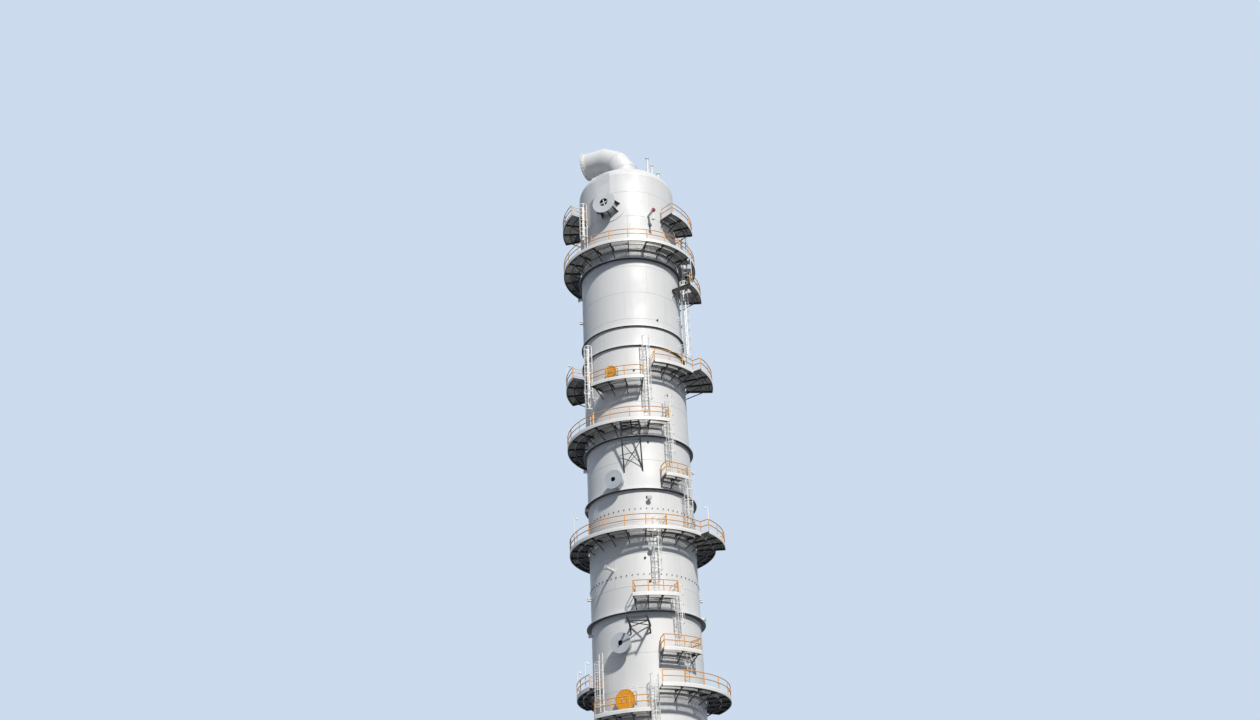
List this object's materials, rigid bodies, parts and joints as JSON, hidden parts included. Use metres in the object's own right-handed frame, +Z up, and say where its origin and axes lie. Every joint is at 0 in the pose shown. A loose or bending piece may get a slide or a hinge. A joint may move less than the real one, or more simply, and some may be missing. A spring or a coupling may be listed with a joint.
{
  "type": "distillation column, 1:10 scale model",
  "caption": "Tall skirt-supported process column with ring platforms, railings, caged ladders, lifting trunnions and a mitred vapour outlet, as a 1:10 scale model.",
  "frame": {"origin": "on the ground under the column's axis, in the plane of the base ring's underside", "axes": "+Z up along the column, -Y toward the side that the picture shows, +X to the right there"},
  "size_m": [1.388, 1.4012, 9.085],
  "materials": {
    "skirt_paint": "satin aluminium paint with dust",
    "shell_paint": "satin aluminium paint",
    "ring_paint": "satin aluminium paint, weathered",
    "nozzle_paint": "satin aluminium paint",
    "cover_paint": "orange paint",
    "frame_steel": "dull galvanised steel",
    "grating_steel": "galvanised bar grating",
    "rail_paint": "yellow paint",
    "ladder_paint": "white paint"
  },
  "bodies": {
    "root": {"base_ring": "skirt_paint", "anchor_chairs": "skirt_paint", "skirt": "skirt_paint", "bottom_head": "skirt_paint", "shell_course_1": "shell_paint", "shell_course_2": "shell_paint", "shell_course_3": "shell_paint", "shell_course_4": "shell_paint", "top_head": "shell_paint", "stiffening_rings": "ring_paint", "vapour_outlet": "shell_paint", "vent_pipes": "shell_paint", "lifting_pads": "shell_paint", "lifting_trunnions": "shell_paint", "side_nozzles": "nozzle_paint", "manways": "nozzle_paint", "manway_covers": "cover_paint", "small_nozzles": "nozzle_paint", "pipe_support_lower": "ring_paint", "pipe_support_upper": "ring_paint", "platforms_lower": "frame_steel", "platforms_four": "frame_steel", "platforms_five_six": "frame_steel", "platform_seven": "frame_steel", "platforms_eight_nine": "frame_steel", "platforms_ten": "frame_steel", "platforms_eleven_top": "frame_steel", "platforms_head": "frame_steel", "gratings_lower": "grating_steel", "gratings_four": "grating_steel", "gratings_five_six": "grating_steel", "grating_seven": "grating_steel", "gratings_eight_nine": "grating_steel", "gratings_ten": "grating_steel", "gratings_eleven_top": "grating_steel", "gratings_head": "grating_steel", "railings_lower": "rail_paint", "railings_four": "rail_paint", "railings_five_six": "rail_paint", "railing_seven": "rail_paint", "railings_eight_nine": "rail_paint", "railings_ten": "rail_paint", "railings_eleven_top": "rail_paint", "railings_head": "rail_paint", "ladders_lower": "ladder_paint", "ladders_middle": "ladder_paint", "ladders_upper": "ladder_paint"}
  },
  "joints": []
}
